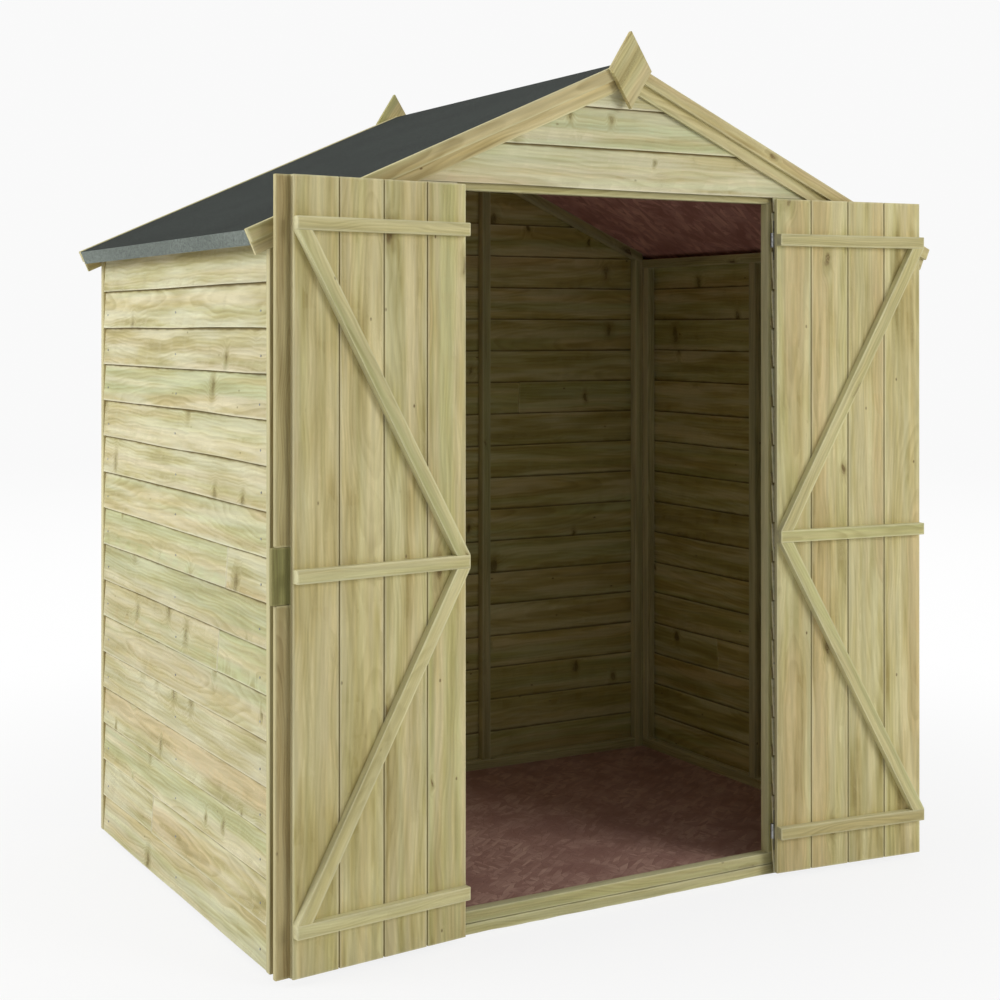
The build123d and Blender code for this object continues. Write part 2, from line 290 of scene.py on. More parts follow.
@cache
def timber_figure() -> bpy.types.NodeTree:
    """Growth rings, heartwood and streaks of a sawn board, from its own along, across and through axes."""
    takes = {"Grain": Vector, "Board": float, "Ring Width": float, "Push": float}
    gives = ("Ring", "Core", "Band", "Line", "Blotch", "Stain", "Fibre")
    graph, given, give = new_group("timber figure", takes, *gives)
    place, own = board_place(given)
    axes = given["Grain"].split("XYZ")
    slow = place.stretch(1.3, 1.0, 1.0).noise(0.0)
    quick = place.stretch(6.0, 20.0, 20.0).noise(1.0)
    aside = axes[1] + own[0].span(0.0, 1.0, -0.08, 0.08)
    deep = axes[2] + own[1].span(0.0, 1.0, 0.006, 0.045) + (slow - 0.5) * 0.17
    radius = aside.math("MULTIPLY_ADD", aside, deep * deep).math("SQRT")
    radius = (quick - 0.5).math("MULTIPLY_ADD", 0.026, radius)
    radius = given["Push"].math("MULTIPLY_ADD", 0.016, radius)
    count = radius.math("DIVIDE", given["Ring Width"])
    turn = count.math("FRACT")
    year = count.math("FLOOR").luck()["Value"]
    band = place.stretch(0.8, 26.0, 26.0).noise(1.0)
    line = place.stretch(3.2, 62.0, 62.0).noise(1.0, 0.55)
    blotch = place.stretch(3.0, 30.0, 30.0).noise(2.0, 0.55)
    ring = turn.span(0.1, 0.8) * turn.span(0.82, 1.0, 1.0, 0.0) * year.span(0.0, 1.0, 0.3, 1.0)
    give({
        "Ring": ring * blotch.span(0.3, 0.6, 0.35, 1.0),
        "Core": radius.span(0.05, 0.022),
        "Band": band.span(0.34, 0.66),
        "Line": line.span(0.3, 0.7),
        "Blotch": blotch.span(0.36, 0.64),
        "Stain": blotch.span(0.56, 0.74),
        "Fibre": place.stretch(30.0, 800.0, 800.0).noise(0.0),
    })
    return graph.tree


@cache
def edge_wear() -> bpy.types.NodeTree:
    """Share of rubbing and painted highlight along a board's arrises, from its place on the board and its
    half sizes.
    """
    graph, given, give = new_group("edge wear", {"Grain": Vector, "Reach": Vector, "Width": float}, "Wear")
    axes = given["Reach"].vector("SUBTRACT", given["Grain"].vector("ABSOLUTE")).split("XYZ")
    edge = axes[1].math("MINIMUM", axes[0])
    ragged = given["Grain"].stretch(22.0, 70.0, 70.0).noise(1.0, 0.7)
    give({"Wear": edge.math("DIVIDE", given["Width"] * (ragged + 0.35)).rest(clamp=True)})
    return graph.tree


@cache
def strand_board() -> bpy.types.NodeTree:
    """Overlapping wood strands of a pressed sheet, as a tone for each strand and its edges."""
    graph, given, give = new_group("strand board", {"Place": Vector}, "Tone", "Edge")
    tone, edge = 0.5, 0.0
    for layer, angle in enumerate((0.2, 1.35, 2.5)):
        inputs = {"Vector": given["Place"], "Angle": angle}
        turned = graph.add("VectorRotate", inputs, rotation_type="Z_AXIS")
        place = turned[0].stretch(19.0, 80.0, 0.0).vector("ADD", (layer * 7.3, layer * 3.1, 0.0))
        luck = place.cells(**FLAT)["Color"].split("Color")
        rims = place.cells(feature="DISTANCE_TO_EDGE", **FLAT)["Distance"]
        over = luck[1].math("GREATER_THAN", 0.42 if layer else -1.0)
        tone = graph.choose(over, tone, luck[0] * 0.7 + place.stretch(0.6, 7.0, 1.0).noise(2.0) * 0.3)
        edge = graph.choose(over, edge, rims.span(0.0, 0.09, 1.0, 0.0))
    give({"Tone": tone, "Edge": edge})
    return graph.tree


def srgb(colour: Colour) -> tuple[float, float, float, float]:
    """Turn a colour as it is seen on a screen into the linear colour that shaders take."""
    linear = [c / 255 / 12.92 if c <= 10 else ((c / 255 + 0.055) / 1.055) ** 2.4 for c in colour]
    return (*linear, 1.0)


# Finishes


class Surface:
    """A material under construction, with its Principled shader."""

    def __init__(self, name: str) -> None:
        """Start the material."""
        self.material = bpy.data.materials.new(name)
        self.material.use_nodes = True
        self.graph = Graph(self.material.node_tree)
        self.shader = self.material.node_tree.nodes["Principled BSDF"]

    def place(self) -> Wire:
        """Place on the piece, in the frame."""
        return self.graph.add("TexCoord")["Object"]

    def dress(self, colour: Wire, rough: Wire, height: Wire, depth: float, strength: float = 0.5,
              plain: dict[str, float] | None = None) -> bpy.types.Material:
        """Feed the shader.

        Args:
            colour: Base colour.
            rough: Roughness.
            height: Height of the bumps.
            depth: How deep they are, in metres.
            strength: How strongly they show.
            plain: Constant values of other inputs, by name.

        Returns:
            The finished material.
        """
        bumps = self.graph.add("Bump", {"Height": height, "Strength": strength, "Distance": depth})[0]
        inputs = {"Base Color": colour, "Roughness": rough, "Normal": bumps, **(plain or {})}
        self.graph.feed(self.shader, inputs)
        return self.material


@dataclass(frozen=True)
class Tints:
    """Colours of a kind of timber, as they are seen on a screen.

    Attributes:
        pale: Clear sapwood.
        straw: The wood's broad darker patches.
        late: The dark lines between growth rings.
        blush: Pinkish wood near the heart.
        moss: Green tint left by the preservative.
        knot: A knot's heart, also used for the painted shadow lines at a lapped board's laps.
        worn: Rubbed and torn edges, lightened further as painted highlight on the arrises.
        inside: Painted shade on a lapped board's back, multiplied over the colour of its face.
    """

    pale: Colour
    straw: Colour
    late: Colour
    blush: Colour
    moss: Colour
    knot: Colour
    worn: Colour
    inside: Colour = (255, 255, 255)


@dataclass(frozen=True)
class TimberFinish:
    """Pressure-treated pine, read from each board's own grain axes.

    Attributes:
        name: Name of the material.
        tints: Its colours.
        ring_width: Distance between rings in metres.
        rings: Strength of the ring lines.
        hues: Strength of the pink and green tints.
        streaks: Strength of the long light and dark streaks.
        knot_shape: Knots to the metre along and across the board, before the chance thins them.
        chance: Share of those places that have no knot.
        knot_size: Size of a knot's heart as a share of its place.
        knot_depth: Strength of the knots' colour.
        pins: Share of places that have no pin knot.
        stains: Strength of the dark stains.
        variety: How far one board's tone is from the next.
        rough: Roughness of the surface.
        sawn: Depth of the sawn texture in metres.
        lap: Half height of the strip of a lapped board that its neighbour doesn't cover, or 0.
        worn_width: Width of the rubbed, painted-highlight strip along the edges in metres.
    """

    name: str
    tints: Tints
    ring_width: float = 0.0055
    rings: float = 0.6
    hues: float = 0.7
    streaks: float = 0.14
    knot_shape: tuple = (3.4, 6.0, 0.0)
    chance: float = 0.6
    knot_size: float = 0.055
    knot_depth: float = 0.8
    pins: float = 0.93
    stains: float = 0.4
    variety: float = 0.07
    rough: float = 0.78
    sawn: float = 0.0006
    lap: float = 0.0
    worn_width: float = 0.006

    def shadows(self, graph: Graph, grain: Wire, blotch: Wire, core: Wire, colour: Wire) -> Wire:
        """Paint shade on a lapped board's back in blotches, and lines of painted shadow, with some dirt,
        where it meets its neighbours.

        Args:
            graph: The material's graph.
            grain: Place on the board.
            blotch: Share of blotches.
            core: Share of the knots' hearts.
            colour: Colour of the board.

        Returns:
            The darkened colour.
        """
        axes = grain.split("XYZ")
        front = axes[2].math("GREATER_THAN", 0.0)
        # Painted shadow, with some dirt: a dark line in the knot colour where each board meets its
        # neighbour, on its face and on its back.
        ragged = grain.stretch(16.0, 3.0, 3.0).noise(1.0, 0.7)
        height = (ragged - 0.5).math("MULTIPLY_ADD", 0.006, axes[1])
        over = height.span(self.lap - 0.008, self.lap - 0.002, 0.0, 0.85)
        under = height.span(-self.lap + 0.008, -self.lap, 0.0, 0.85)
        # Painted shade: the board's back is darkened by the inside tint, more where the blotches are.
        back = front.rest() * blotch.span(0.0, 1.0, 0.75, 1.0)
        knot = srgb(self.tints.knot)
        colour = graph.mix(back, colour, srgb(self.tints.inside), "MULTIPLY")
        colour = graph.mix(back * core, colour, knot)
        return graph.mix(graph.choose(front, under, over), colour, knot)

    @cache
    def material(self) -> bpy.types.Material:
        """Build the material."""
        surface = Surface(self.name)
        graph = surface.graph
        grain = graph.add("Attribute", attribute_name="grain")["Vector"]
        board = graph.add("Attribute", attribute_name="board")["Fac"]
        reach = graph.add("Attribute", attribute_name="reach")["Vector"]
        own = {"Grain": grain, "Board": board}
        shape = {"Shape": self.knot_shape, "Chance": self.chance, "Size": self.knot_size, "Pins": self.pins}
        knots = graph.add("Group", own | shape, node_tree=knot_pattern())
        rings = {"Push": knots["Push"], "Ring Width": self.ring_width}
        figure = graph.add("Group", own | rings, node_tree=timber_figure())
        edges = {"Grain": grain, "Reach": reach, "Width": self.worn_width}
        rub_and_highlight = graph.add("Group", edges, node_tree=edge_wear())
        luck = (board + 3.7).luck()["Color"].split("Color")

        pink = figure["Core"] * luck[0].span(0.0, 1.0, 0.25, 1.0)
        pink = pink.math("MAXIMUM", figure["Band"] * 0.45) * self.hues
        green = figure["Band"].math("MAXIMUM", figure["Core"]).rest() * luck[1].span(0.0, 1.0, 0.2, 1.0)
        stain = figure["Stain"] * luck[1].span(0.0, 1.0, self.stains, 0.2 * self.stains)
        core = knots["Heart"].math("MAXIMUM", knots["Pin"])
        tints = self.tints
        colour = graph.mix(figure["Blotch"], srgb(tints.pale), srgb(tints.straw))
        layers = (
            (pink, tints.blush),
            (green * self.hues, tints.moss),
            (figure["Ring"] * self.rings, tints.late),
            (stain.math("MAXIMUM", knots["Halo"] * 0.55), tints.late),
            (core * self.knot_depth, tints.knot),
            # Lighter arrises: rubbing, and painted highlight where the arrises catch the light.
            (rub_and_highlight["Wear"] * 0.55, tints.worn),
        )
        for share, tint in layers:
            colour = graph.mix(share, colour, srgb(tint))
        # Lapped boards get painted shade on their backs and painted shadow lines at their laps.
        if self.lap:
            colour = self.shadows(graph, grain, figure["Blotch"], core, colour)

        tone = luck[2].span(0.0, 1.0, 1.0 - self.variety, 1.0 + self.variety)
        light = figure["Line"].span(0.0, 1.0, 1.0 - self.streaks, 1.0 + self.streaks)
        tone = tone * light * figure["Fibre"].span(0.3, 0.7, 0.96, 1.035)
        shade = graph.add("HueSaturation", {"Value": tone, "Color": colour})[0]
        rough = figure["Fibre"].span(0.2, 0.8, self.rough - 0.08, self.rough + 0.1)
        return surface.dress(shade, rough, figure["Fibre"], self.sawn, plain={"Specular IOR Level": 0.25})


@dataclass(frozen=True)
class StrandBoardFinish:
    """Pressed strand board of the floor and the roof sheets.

    Attributes:
        name: Name of the material.
        dark: Colour of the darkest strands.
        light: Colour of the lightest strands.
        tilt: Turn of the sheet's plane about Y, so that the strands lie in it.
    """

    name: str
    dark: Colour
    light: Colour
    tilt: float = 0.0

    @cache
    def material(self) -> bpy.types.Material:
        """Build the material."""
        surface = Surface(self.name)
        graph = surface.graph
        place = surface.place()
        turned = graph.add("Mapping", {"Vector": place, "Rotation": (0.0, self.tilt, 0.0)})[0]
        strands = graph.add("Group", {"Place": turned}, node_tree=strand_board())
        tone, edge = strands["Tone"], strands["Edge"]
        dark = srgb(self.dark)
        stain = place.noise(2.0, 0.6, scale=9.0).span(0.42, 0.68, 0.0, 0.7)
        colour = graph.mix(edge * 0.45, graph.mix(tone, dark, srgb(self.light)), dark)
        colour = graph.mix(stain, colour, dark)
        return surface.dress(colour, tone.span(0.0, 1.0, 0.7, 0.88), tone - edge, 0.0008)


@dataclass(frozen=True)
class FeltFinish:
    """Mineral felt, coloured by facing as painted light and shade: darker on the slopes, paler where it
    turns down at the eaves.

    Attributes:
        name: Name of the material.
        slope: Colour on the slopes, the shaded copy.
        turned: Colour on the turned-down edge, the lit copy.
        bare: Colour of the bitumen between the granules.
    """

    name: str
    slope: Colour
    turned: Colour
    bare: Colour

    @cache
    def material(self) -> bpy.types.Material:
        """Build the material."""
        surface = Surface(self.name)
        graph = surface.graph
        place = surface.place()
        steep = graph.add("NewGeometry")["True Normal"].split("XYZ")[2].span(0.75, 0.45)
        specks = place.cells(420.0)
        luck = specks["Color"].split("Color")
        patch = place.stretch(7.0, 3.0, 7.0).noise(3.0)
        grit = place.noise(3.0, 0.7, scale=190.0)
        # Painted light and shade: the colour switches with how steeply each face stands, darker on the
        # slopes and paler on the turned-down edge.
        colour = graph.mix(steep, srgb(self.slope), srgb(self.turned))
        colour = graph.mix(luck[0].span(0.72, 1.0, 0.0, 0.5), colour, srgb(self.bare))
        shade = patch.span(0.3, 0.7, 0.88, 1.1) * grit.span(0.3, 0.7, 0.86, 1.14)
        shade = shade * luck[1].span(0.0, 1.0, 0.8, 1.2)
        toned = graph.add("HueSaturation", {"Value": shade, "Color": colour})[0]
        rough = luck[2].span(0.0, 1.0, 0.8, 0.98)
        height = specks["Distance"].rest()
        return surface.dress(toned, rough, height, 0.0008, 0.7, {"Specular IOR Level": 0.12})


@dataclass(frozen=True)
class ZincFinish:
    """Dull zinc plating of the hinges and nail heads.

    Attributes:
        name: Name of the material.
        bright: Colour of the clean zinc.
        dull: Colour of the weathered zinc.
    """

    name: str
    bright: Colour
    dull: Colour

    @cache
    def material(self) -> bpy.types.Material:
        """Build the material."""
        surface = Surface(self.name)
        place = surface.place()
        spangle = place.cells(260.0)["Color"].split("Color")[0]
        cloud = place.noise(4.0, 0.6, scale=60.0)
        share = cloud.span(0.35, 0.7) * spangle.span(0.0, 1.0, 0.5, 1.0)
        colour = surface.graph.mix(share, srgb(self.bright), srgb(self.dull))
        return surface.dress(colour, share.span(0.0, 1.0, 0.32, 0.6), cloud, 0.0003, 0.3, {"Metallic": 0.9})


Finish = TimberFinish | StrandBoardFinish | FeltFinish | ZincFinish

# The cladding's inside tint is painted shade on the boards' backs.
CLADDING = TimberFinish(
    "cladding pine", Tints((228, 224, 192), (200, 192, 142), (152, 138, 80), (216, 194, 150),
                           (190, 198, 150), (104, 88, 40), (238, 234, 208), inside=(212, 204, 152)),
    ring_width=0.009, rings=0.42, hues=0.75, streaks=0.07, knot_shape=(7.5, 4.2, 0.0), chance=0.66,
    knot_size=0.085, knot_depth=0.55, pins=0.94, stains=0.6, variety=0.04, lap=LAP_FACE)
DOORS = TimberFinish(
    "door pine", Tints((222, 213, 166), (196, 184, 126), (142, 124, 66), (204, 180, 128), (180, 180, 114),
                       (98, 72, 34), (222, 216, 176)),
    ring_width=0.009, rings=0.32, hues=0.75, streaks=0.1, knot_shape=(1.9, 5.0, 0.0), chance=0.55,
    knot_size=0.045, pins=0.9, stains=0.7, variety=0.04, rough=0.7, sawn=0.0003)
BATTENS = TimberFinish(
    "planed batten pine", Tints((212, 206, 158), (194, 186, 132), (148, 134, 80), (198, 178, 122),
                                (180, 180, 118), (104, 80, 38), (228, 224, 184)),
    ring_width=0.006, rings=0.45, hues=0.65, streaks=0.1, knot_shape=(2.2, 9.0, 0.0), chance=0.75,
    knot_size=0.05, pins=0.95, stains=0.5, variety=0.05, rough=0.7, sawn=0.0003)
TRIM = TimberFinish(
    "bargeboard pine", Tints((218, 210, 162), (196, 184, 128), (134, 114, 62), (190, 158, 108),
                             (172, 170, 108), (96, 68, 34), (222, 216, 172)),
    ring_width=0.008, rings=0.5, hues=0.8, streaks=0.1, knot_shape=(2.6, 7.0, 0.0), chance=0.66,
    pins=0.92, stains=0.6, variety=0.06, rough=0.72, sawn=0.0004)
FRAMING = TimberFinish(
    "framing pine", Tints((194, 188, 138), (166, 158, 104), (108, 96, 52), (168, 146, 98), (148, 152, 94),
                          (82, 62, 30), (206, 200, 154)),
    ring_width=0.007, rings=0.5, streaks=0.12, knot_shape=(3.0, 9.0, 0.0), chance=0.7, knot_size=0.05,
    pins=0.92, stains=0.7, sawn=0.0008)
COVER = TimberFinish(
    "cover strip pine", Tints((192, 180, 132), (172, 156, 106), (124, 104, 60), (176, 148, 102),
                              (160, 158, 104), (92, 68, 36), (212, 204, 158)),
    ring_width=0.006, rings=0.45, streaks=0.1, knot_shape=(2.0, 9.0, 0.0), chance=0.8, knot_size=0.05,
    pins=0.95, stains=0.6, variety=0.04, rough=0.72, sawn=0.0004)
# Painted shade: the lock block's tints are darkened for its recess behind the cover strip.
SHADED_BLOCK = TimberFinish(
    "lock block pine", Tints((148, 146, 92), (130, 124, 74), (96, 84, 46), (136, 116, 74), (122, 124, 72),
                             (74, 56, 28), (166, 160, 110)),
    ring_width=0.005, rings=0.5, hues=0.6, streaks=0.1, chance=0.95, pins=0.97, stains=0.6, rough=0.75,
    sawn=0.0005)
TONGUES = TimberFinish(
    "shaded tongue pine", Tints((128, 108, 70), (112, 92, 56), (88, 70, 40), (116, 92, 60), (104, 98, 58),
                                (74, 54, 30), (128, 112, 74)),
    rings=0.4, hues=0.6, streaks=0.08, chance=0.95, pins=0.99, rough=0.85)
FLOOR_SHEET = StrandBoardFinish("floor strand board", dark=(156, 114, 104), light=(206, 168, 152))
ROOF_SHEETS = {
    side: StrandBoardFinish(f"{side.word} roof strand board", dark=(164, 110, 104), light=(232, 176, 166),
                            tilt=side.value * ROOF_PITCH)
    for side in Side
}
FELT = FeltFinish("green-grey felt", slope=(42, 47, 43), turned=(124, 132, 126), bare=(31, 34, 32))
ZINC = ZincFinish("dull zinc", bright=(166, 168, 168), dull=(112, 113, 110))


# Reading the frame


def corners_of(node: str) -> list[Vector]:
    """Every vertex of a CAD node, in the frame."""
    return [vertex.co.copy() for vertex in frame["nodes"][node].data.vertices]


def solids_of(node: str) -> list[list[Vector]]:
    """Split a CAD node into its separate solids.

    Args:
        node: Name of the node.

    Returns:
        The corner points of each solid, in the order of their lowest corners.
    """
    mesh = frame["nodes"][node].data
    keys = [tuple(round(c, 5) for c in vertex.co) for vertex in mesh.vertices]
    root: dict[tuple, tuple] = {key: key for key in keys}

    def find(key: tuple) -> tuple:
        """Follow a corner to the one that stands for its solid."""
        while root[key] != key:
            root[key] = root[root[key]]
            key = root[key]
        return key

    for face in mesh.polygons:
        first = find(keys[face.vertices[0]])
        for index in face.vertices[1:]:
            root[find(keys[index])] = first
    solids: dict[tuple, set] = {}
    for key in root:
        solids.setdefault(find(key), set()).add(key)
    found = [[Vector(key) for key in sorted(keys)] for keys in solids.values()]
    return sorted(found, key=lambda points: tuple(points[0]))


def box_of(points: Sequence[Vector]) -> tuple[Vector, Vector]:
    """Lowest and highest corner of the box round some points."""
    low, high = ([limit(p[i] for p in points) for i in range(3)] for limit in (min, max))
    return Vector(low), Vector(high)


@dataclass(frozen=True)
class Axes:
    """Directions of a piece of timber: along its grain, across its face and through it."""

    along: Vector
    across: Vector

    @property
    def through(self) -> Vector:
        """Direction square to the piece's face."""
        return self.along.cross(self.across)

    def turn(self) -> Matrix:
        """Matrix that turns the piece's own axes into these directions."""
        return Matrix((self.along, self.across, self.through)).transposed().to_4x4()

    def span(self, points: Sequence[Vector]) -> tuple[Vector, Vector]:
        """Middle and size of the box round some points, measured along these directions.

        Args:
            points: Points in the frame.

        Returns:
            The box's middle in the frame, and its size along, across and through.
        """
        own = [Vector((p.dot(self.along), p.dot(self.across), p.dot(self.through))) for p in points]
        low, high = box_of(own)
        return self.turn() @ ((low + high) / 2), high - low


ACROSS_X = Axes(RIGHTWARD, UP)
ALONG_Y = Axes(Vector((0, 1, 0)), UP)
UPRIGHT = Axes(UP, RIGHTWARD)


def facing_front(along: Vector) -> Axes:
    """Directions of a piece that lies along a direction and faces the front."""
    return Axes(along, FORWARD.cross(along))


def down_slope(side: Side) -> Vector:
    """Direction down the roof slope on one side."""
    return Vector((side.value * math.cos(ROOF_PITCH), 0, -math.sin(ROOF_PITCH)))


@dataclass(frozen=True)
class Cut:
    """A plane that trims a piece; the side its normal points to is cut away."""

    point: Vector
    normal: Vector


def roof_cuts(depth: float) -> tuple[Cut, ...]:
    """Planes of both roof slopes at a depth below the felt."""
    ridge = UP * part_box("roof_felt")[1].z
    normals = [Vector((side.value * math.sin(ROOF_PITCH), 0, math.cos(ROOF_PITCH))) for side in Side]
    return tuple(Cut(ridge - normal * depth, normal) for normal in normals)


# Working timber


def clear_selection() -> None:
    """Leave object mode with nothing selected."""
    if bpy.context.object and bpy.context.object.mode != "OBJECT":
        bpy.ops.object.mode_set(mode="OBJECT")
    bpy.ops.object.select_all(action="DESELECT")


def pick(piece: Piece) -> None:
    """Make one piece the only selected and active one."""
    clear_selection()
    piece.select_set(True)
    bpy.context.view_layer.objects.active = piece


@contextmanager
def editing() -> Iterator[None]:
    """Work on the active piece in edit mode."""
    bpy.ops.object.mode_set(mode="EDIT")
    yield
    bpy.ops.object.mode_set(mode="OBJECT")


def blank(name: str, size: Vector, ease: float = EASE, bays: int = 0) -> Piece:
    """Saw a straight piece of timber with eased arrises, centred on the origin and lying along X.

    Args:
        name: Name of the piece.
        size: Its length, width and thickness.
        ease: Width of the eased arrises.
        bays: Number of stretches that its length is divided into, so that it can be bent.

    Returns:
        The piece.
    """
    clear_selection()
    bpy.ops.mesh.primitive_cube_add(size=1.0)
    piece = bpy.context.active_object
    piece.name = name
    with editing():
        bpy.ops.mesh.select_all(action="SELECT")
        bpy.ops.transform.resize(value=tuple(size))
        bpy.ops.mesh.bevel(offset=ease, segments=2, profile=0.6, affect="EDGES")
        for bay in range(1, bays):
            bpy.ops.mesh.select_all(action="SELECT")
            bpy.ops.mesh.bisect(plane_co=(size[0] * (bay / bays - 0.5), 0, 0), plane_no=(1, 0, 0))
    return piece


def sink(piece: Piece, chosen: Sequence[bool], rim: float, depth: Vector) -> None:
    """Sink a recess into some faces of a piece.

    Args:
        piece: The piece.
        chosen: For each face, whether it is one of them.
        rim: Width of the rim that is left round the recess.
        depth: How far its floor is moved, and which way.
    """
    piece.data.polygons.foreach_set("select", chosen)
    pick(piece)
    with editing():
        bpy.ops.mesh.inset(thickness=rim)
        bpy.ops.mesh.extrude_region_move(TRANSFORM_OT_translate={"value": depth})


@dataclass
class Warp:
    """Slow waves that dried timber shows.

    Attributes:
        depth: Height of the waves in metres.
        pitch: Size of the waves in metres.
        across: Whether they move the piece across its face rather than through it.
    """

    depth: float
    pitch: float
    across: bool = True
    texture: bpy.types.Texture = field(init=False)

    def __post_init__(self) -> None:
        """Make the noise that shapes the waves."""
        self.texture = bpy.data.textures.new("timber waves", "CLOUDS")
        self.texture.noise_scale = self.pitch
        self.texture.noise_depth = 1

    def bend(self, piece: Piece, luck: random.Random) -> None:
        """Bend a piece that still lies at the origin.

        Args:
            piece: The piece to bend.
            luck: Source of its place in the noise, so that no two are alike.
        """
        place = luck.uniform(1, 30)
        shift = Matrix.Translation((place * 3.1, place * 1.7, place * 2.3))
        piece.data.transform(shift)
        waves = piece.modifiers.new("waves", "DISPLACE")
        waves.texture = self.texture
        waves.texture_coords = "LOCAL"
        waves.direction = "Y" if self.across else "Z"
        waves.strength = self.depth * 2
        waves.mid_level = 0.5
        pick(piece)
        bpy.ops.object.modifier_apply(modifier=waves.name)
        piece.data.transform(shift.inverted())


WAVES = Warp(depth=2.6 * MM, pitch=0.42)
CUPS = Warp(depth=0.8 * MM, pitch=0.3, across=False)
RAGGED = Warp(depth=1.4 * MM, pitch=0.06)


def mark_grain(piece: Piece, size: Vector, luck: float) -> None:
    """Write a piece's own axes into its mesh, for its finish to read.

    Args:
        piece: A piece that still lies at the origin along X.
        size: Its length, width and thickness.
        luck: A number between 0 and 1 that sets its figure and tone.
    """
    mesh = piece.data
    count = len(mesh.vertices)
    rows = {
        "grain": ("FLOAT_VECTOR", "vector", [c for vertex in mesh.vertices for c in vertex.co]),
        "reach": ("FLOAT_VECTOR", "vector", [c / 2 for c in size] * count),
        "board": ("FLOAT", "value", [luck] * count),
    }
    for name, (kind, field_name, values) in rows.items():
        mesh.attributes.new(name, kind, "POINT").data.foreach_set(field_name, values)


def lay(piece: Piece, axes: Axes, middle: Vector, cuts: Sequence[Cut] = ()) -> None:
    """Put a piece in its place, in its mesh, and saw it at some planes, closing its ends.

    Args:
        piece: A piece that still lies at the origin along X.
        axes: Its directions.
        middle: Its middle.
        cuts: Planes to saw it at.
    """
    piece.data.transform(Matrix.Translation(middle) @ axes.turn())
    for cut in cuts:
        pick(piece)
        with editing():
            bpy.ops.mesh.select_all(action="SELECT")
            bpy.ops.mesh.bisect(plane_co=cut.point, plane_no=cut.normal, use_fill=True, clear_outer=True)


@dataclass
class Timber:
    """One straight timber in its place.

    Attributes:
        name: Its name.
        axes: Its directions.
        middle: The middle of its stock.
        size: Length, width and thickness of its stock.
        ease: Width of its eased arrises.
        cuts: Planes that trim it.
        warps: How it is bent.
        bays: Number of stretches that its length is divided into.
    """

    name: str
    axes: Axes
    middle: Vector
    size: Vector
    ease: float = EASE
    cuts: Sequence[Cut] = ()
    warps: Sequence[Warp] = ()
    bays: int = 0

    def saw(self, luck: random.Random) -> Piece:
        """Make the timber.

        Args:
            luck: Source of its own bend and figure.

        Returns:
            The timber, in its place.
        """
        piece = blank(self.name, self.size, self.ease, self.bays)
        for warp in self.warps:
            warp.bend(piece, luck)
        mark_grain(piece, self.size, luck.random())
        lay(piece, self.axes, self.middle, self.cuts)
        return piece


def fit(name: str, pieces: Sequence[Piece], finish: Finish, body: str, slot: str, *nodes: str) -> None:
    """Fasten pieces into one mesh, dress it, hang it on its body and let it stand for its CAD nodes.

    Args:
        name: Name of the joined piece.
        pieces: What it is made of.
        finish: The finish it gets.
        body: CAD body that it moves with.
        slot: The record's material slot; not used.
        nodes: CAD nodes that it replaces.
    """
    clear_selection()
    for piece in pieces:
        piece.select_set(True)
    piece = pieces[0]
    bpy.context.view_layer.objects.active = piece
    if len(pieces) > 1:
        bpy.ops.object.join()
    piece.name = piece.data.name = name
    pick(piece)
    bpy.ops.object.shade_smooth_by_angle(angle=math.radians(30))
    piece.data.materials.clear()
    piece.data.materials.append(finish.material())
    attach(piece, body)
    if nodes:
        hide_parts(*nodes)
    log.info("%s: %d faces", piece.name, len(piece.data.polygons))


def dress(node: str, finish: Finish) -> None:
    """Give a CAD node whose shape is right a better material."""
    for slot in frame["nodes"][node].material_slots:
        slot.material = finish.material()


@dataclass
class Sticks:
    """Straight timbers that take the place of one CAD node, each as long and thick as its solid.

    Attributes:
        node: The CAD node.
        axes: Directions of its timbers.
        finish: Their finish.
        slot: The record's material slot.
        cuts: Planes that trim every one of them.
        short: How far each stops short of its solid along its upper edge.
        warps: How each is bent along its length.
        bay: Length of the stretches that a bent one is divided into.
    """

    node: str
    axes: Axes
    finish: TimberFinish = FRAMING
    slot: str = "frame_timber"
    cuts: tuple[Cut, ...] = ()
    short: float = 0.0
    warps: tuple[Warp, ...] = ()
    bay: float = 20 * MM

    def build(self, luck: random.Random) -> None:
        """Make the timbers and fit them.

        Args:
            luck: Source of each timber's own bend and figure.
        """
        pieces = []
        for points in solids_of(self.node):
            middle, size = self.axes.span(points)
            size[1] -= self.short
            bays = round(size[0] / self.bay) if self.warps else 0
            middle = middle - self.axes.across * (self.short / 2)
            stick = Timber(self.node, self.axes, middle, size, cuts=self.cuts, warps=self.warps, bays=bays)
            pieces.append(stick.saw(luck))
        fit(self.node + "_timber", pieces, self.finish, "shed", self.slot, self.node)


